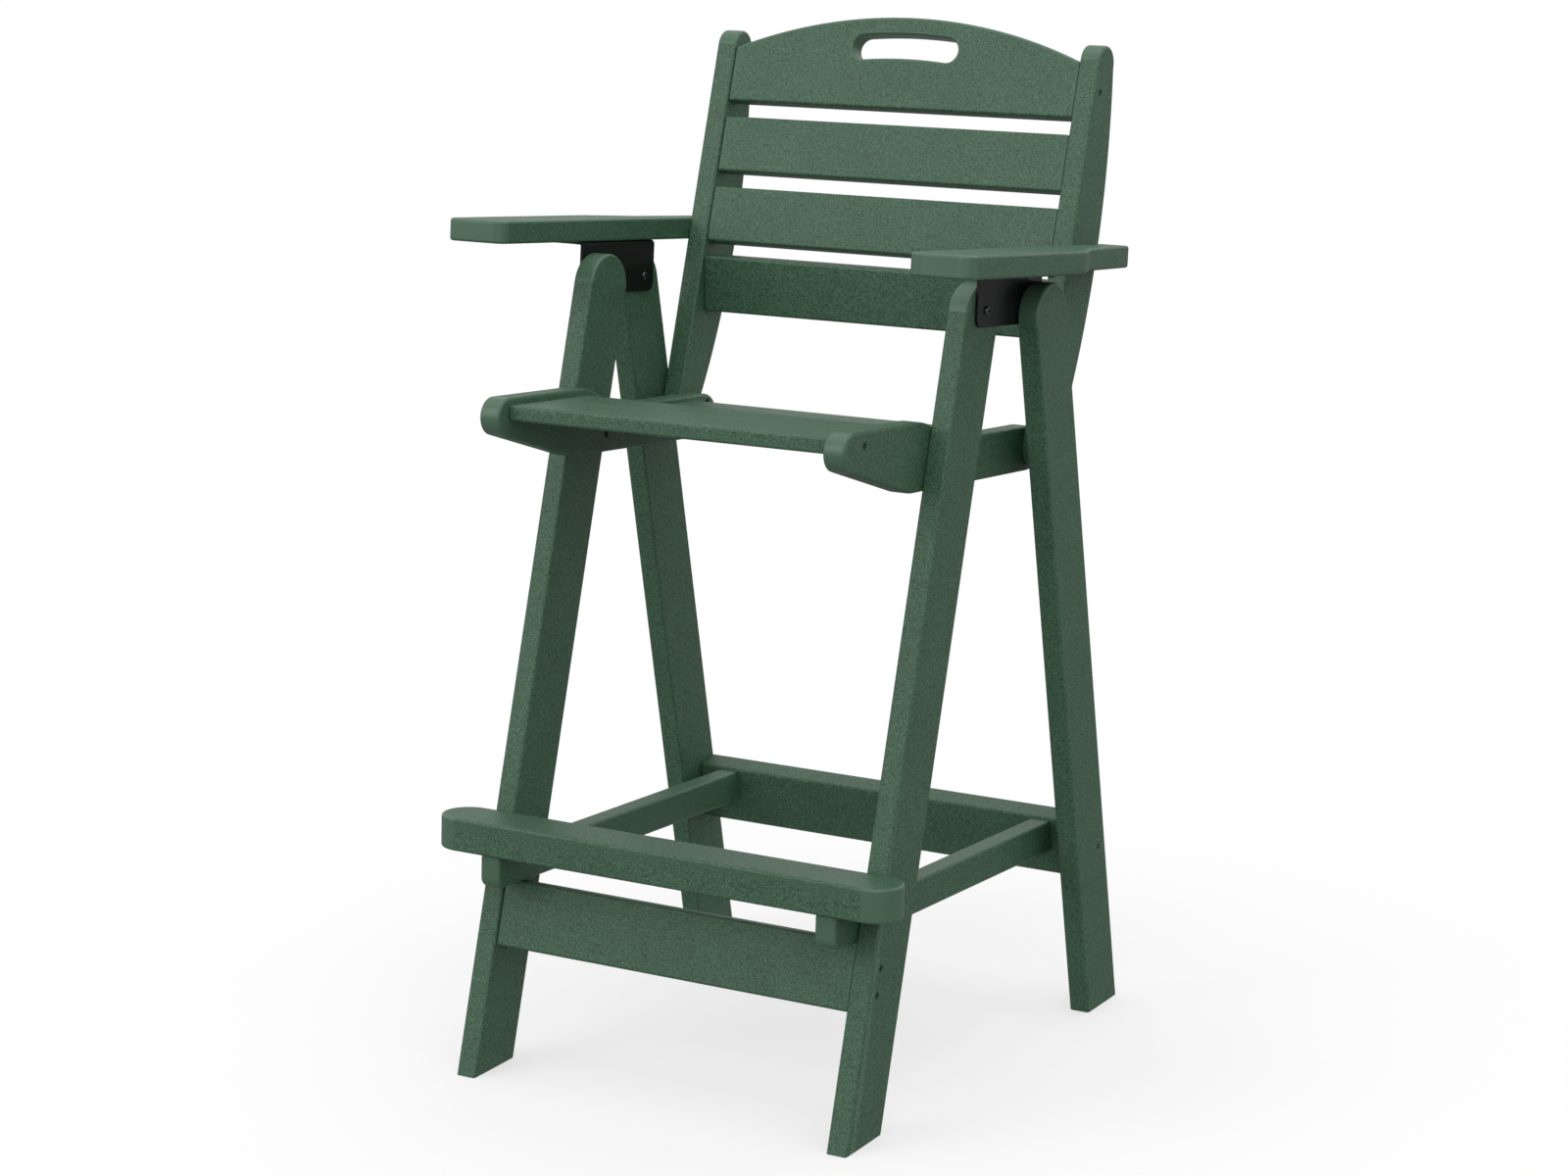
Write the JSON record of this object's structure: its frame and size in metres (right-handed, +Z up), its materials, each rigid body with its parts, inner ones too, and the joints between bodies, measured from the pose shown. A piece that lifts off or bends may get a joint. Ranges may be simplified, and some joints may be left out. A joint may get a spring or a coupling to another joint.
{
  "type": "patio bar chair",
  "caption": "Tall outdoor chair of plastic lumber boards: A-frame legs, footrest, dished slatted seat, paddle arms, and a reclined slatted back with a hand slot.",
  "frame": {"origin": "centre of the bounding box at floor level, under the seat", "axes": "+Z up; -Y is the front, where the sitter's legs hang and the footrest is; +X is the right-hand side as seen from in front"},
  "size_m": [0.6604, 0.63, 1.167],
  "materials": {
    "green_lumber": "fine pebbled grain on the flat faces, machined ends smooth and a little lighter",
    "black_steel": "satin black powder coat",
    "black_screw": "black coated screw heads",
    "screw_steel": "plain stainless steel, darkened in the recesses"
  },
  "bodies": {
    "root": {"front_leg_left": "green_lumber", "front_leg_right": "green_lumber", "rear_leg_left": "green_lumber", "rear_leg_right": "green_lumber", "back_post_left": "green_lumber", "back_post_right": "green_lumber", "side_rail_left": "green_lumber", "side_rail_right": "green_lumber", "stretcher_left": "green_lumber", "stretcher_right": "green_lumber", "arm_left": "green_lumber", "arm_right": "green_lumber", "arm_bracket_left": "black_steel", "arm_bracket_right": "black_steel", "front_apron": "green_lumber", "rear_rail": "green_lumber", "footrest": "green_lumber", "back_slat_top": "green_lumber", "back_slat_upper": "green_lumber", "back_slat_middle": "green_lumber", "back_slat_lower": "green_lumber", "seat_slat_1": "green_lumber", "seat_slat_2": "green_lumber", "seat_slat_3": "green_lumber", "seat_slat_4": "green_lumber", "seat_slat_5": "green_lumber", "long_screws": "screw_steel", "short_screws": "screw_steel", "bracket_screws": "black_screw", "arm_screws": "black_screw", "post_bolts": "screw_steel", "spacer_washers": "screw_steel", "slat_dowels": "screw_steel"}
  },
  "joints": []
}
